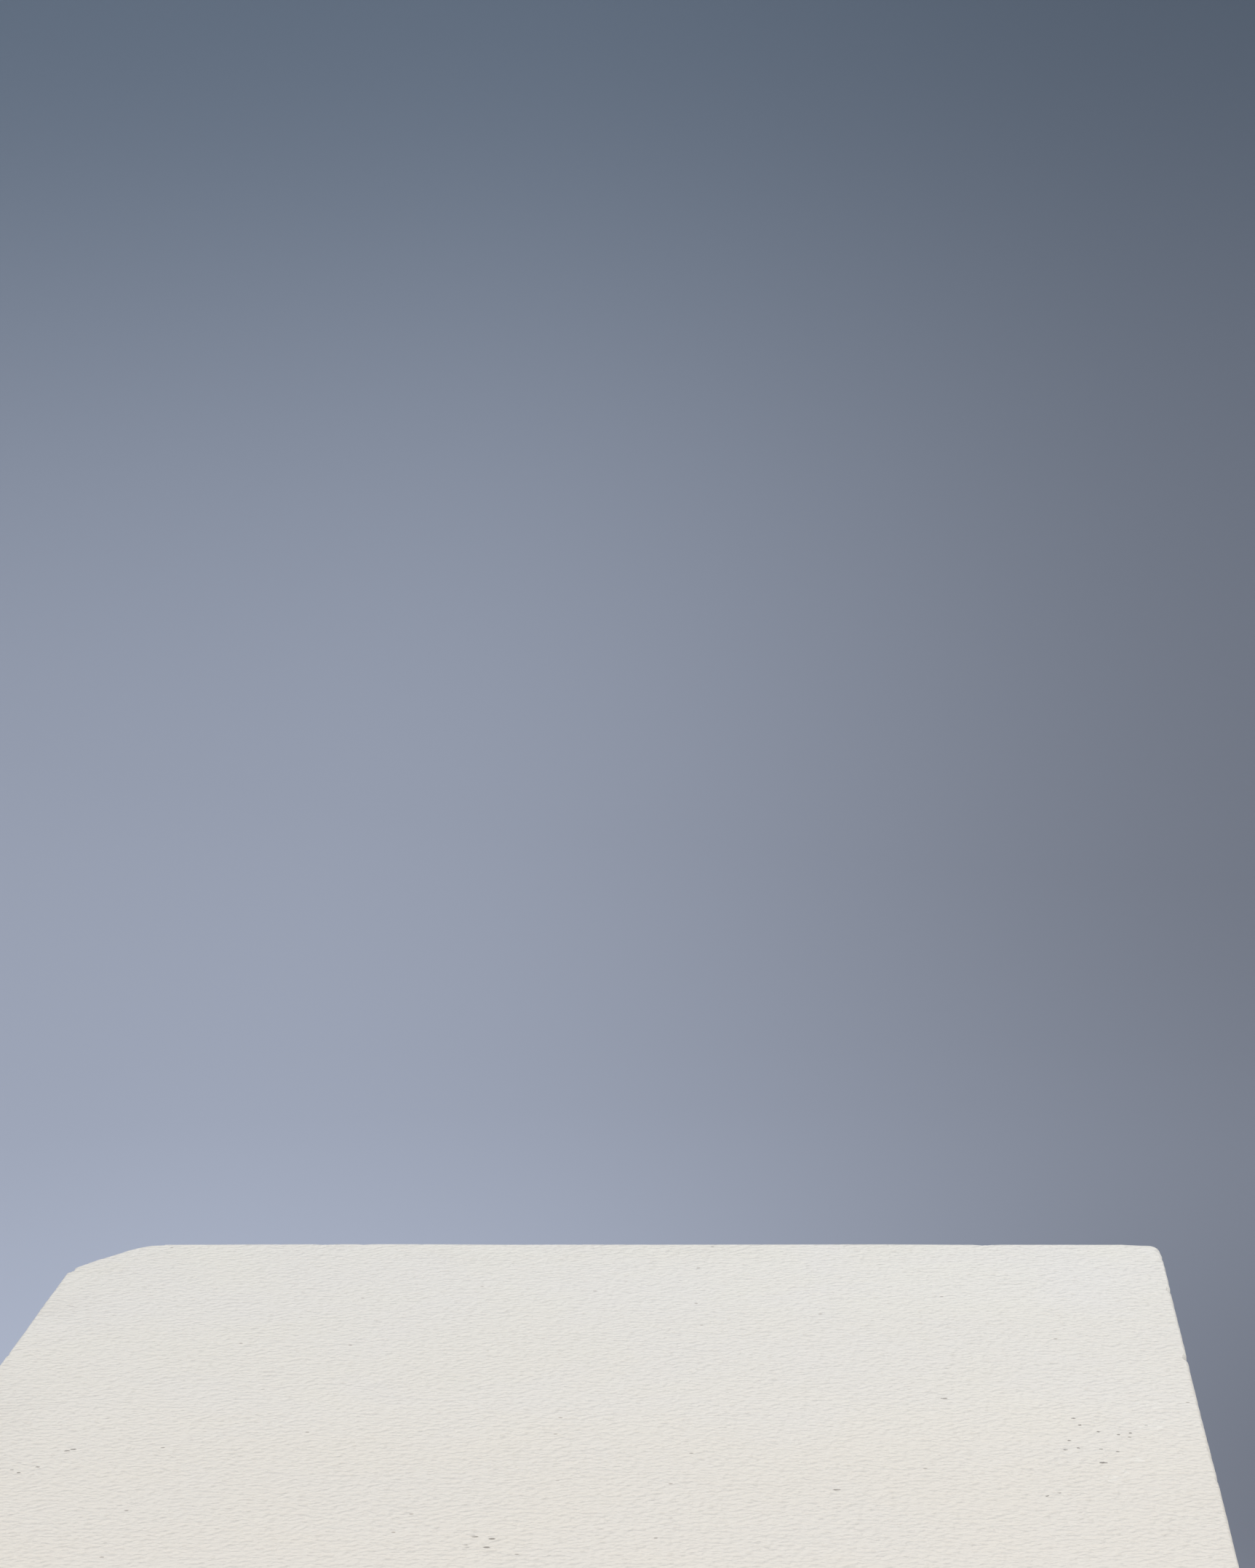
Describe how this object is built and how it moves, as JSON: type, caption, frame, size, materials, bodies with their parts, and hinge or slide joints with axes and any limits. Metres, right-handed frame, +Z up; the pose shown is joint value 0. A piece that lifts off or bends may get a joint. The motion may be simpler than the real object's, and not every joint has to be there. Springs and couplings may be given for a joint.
{
  "type": "display plinth",
  "caption": "Square white-painted plywood display plinth on a hidden softwood frame, open underneath, with levelling feet and one knocked rear corner.",
  "frame": {"origin": "on the floor, under the middle of the box", "axes": "+Z up the plinth; -Y is the front, towards the viewer; +X the right-hand side; the knocked corner is at -X, +Y"},
  "size_m": [0.45, 0.45, 1],
  "materials": {
    "white_paint": "matte",
    "softwood": "matte",
    "beech": "satin",
    "zinc": "satin",
    "black_nylon": "matte"
  },
  "bodies": {
    "root": {"top_panel": "white_paint", "front_panel": "white_paint", "back_panel": "white_paint", "left_panel": "white_paint", "right_panel": "white_paint", "top_rail_front": "softwood", "middle_rail_front": "softwood", "bottom_rail_front": "softwood", "top_screw_front_1": "zinc", "top_screw_front_2": "zinc", "top_rail_right": "softwood", "middle_rail_right": "softwood", "bottom_rail_right": "softwood", "top_screw_right_1": "zinc", "top_screw_right_2": "zinc", "top_rail_back": "softwood", "middle_rail_back": "softwood", "bottom_rail_back": "softwood", "top_screw_back_1": "zinc", "top_screw_back_2": "zinc", "top_rail_left": "softwood", "middle_rail_left": "softwood", "bottom_rail_left": "softwood", "top_screw_left_1": "zinc", "top_screw_left_2": "zinc", "top_bearer_left": "softwood", "top_bearer_right": "softwood", "corner_post_front_left": "softwood", "foot_block_front_left": "beech", "block_screw_front_left": "zinc", "tee_nut_front_left": "zinc", "corner_post_front_right": "softwood", "foot_block_front_right": "beech", "block_screw_front_right": "zinc", "tee_nut_front_right": "zinc", "corner_post_back_right": "softwood", "foot_block_back_right": "beech", "block_screw_back_right": "zinc", "tee_nut_back_right": "zinc", "corner_post_back_left": "softwood", "foot_block_back_left": "beech", "block_screw_back_left": "zinc", "tee_nut_back_left": "zinc"},
    "pad_front_left": {"foot_pad_front_left": "black_nylon"},
    "stem_front_left": {"foot_stem_front_left": "zinc"},
    "pad_front_right": {"foot_pad_front_right": "black_nylon"},
    "stem_front_right": {"foot_stem_front_right": "zinc"},
    "pad_back_right": {"foot_pad_back_right": "black_nylon"},
    "stem_back_right": {"foot_stem_back_right": "zinc"},
    "pad_back_left": {"foot_pad_back_left": "black_nylon"},
    "stem_back_left": {"foot_stem_back_left": "zinc"}
  },
  "joints": [
    {"name": "foot_height_front_left", "type": "slide", "parent": "root", "child": "pad_front_left", "axis": [0, 0, -1], "range_m": [-0.006, 0.014]},
    {"name": "foot_turn_front_left", "type": "hinge", "parent": "pad_front_left", "child": "stem_front_left", "pos_m": [-0.1627, -0.1627, 0.0066], "axis": [0, 0, -1], "range_deg": [-1440, 3360]},
    {"name": "foot_height_front_right", "type": "slide", "parent": "root", "child": "pad_front_right", "axis": [0, 0, -1], "range_m": [-0.006, 0.014]},
    {"name": "foot_turn_front_right", "type": "hinge", "parent": "pad_front_right", "child": "stem_front_right", "pos_m": [0.1627, -0.1627, 0.0066], "axis": [0, 0, -1], "range_deg": [-1440, 3360]},
    {"name": "foot_height_back_right", "type": "slide", "parent": "root", "child": "pad_back_right", "axis": [0, 0, -1], "range_m": [-0.006, 0.014]},
    {"name": "foot_turn_back_right", "type": "hinge", "parent": "pad_back_right", "child": "stem_back_right", "pos_m": [0.1627, 0.1627, 0.0066], "axis": [0, 0, -1], "range_deg": [-1440, 3360]},
    {"name": "foot_height_back_left", "type": "slide", "parent": "root", "child": "pad_back_left", "axis": [0, 0, -1], "range_m": [-0.006, 0.014]},
    {"name": "foot_turn_back_left", "type": "hinge", "parent": "pad_back_left", "child": "stem_back_left", "pos_m": [-0.1627, 0.1627, 0.0066], "axis": [0, 0, -1], "range_deg": [-1440, 3360]}
  ],
  "couplings": [
    {"joint": "foot_turn_front_left", "follows": "foot_height_front_left", "rad_per_m": 4188.8},
    {"joint": "foot_turn_front_right", "follows": "foot_height_front_right", "rad_per_m": 4188.8},
    {"joint": "foot_turn_back_right", "follows": "foot_height_back_right", "rad_per_m": 4188.8},
    {"joint": "foot_turn_back_left", "follows": "foot_height_back_left", "rad_per_m": 4188.8}
  ]
}
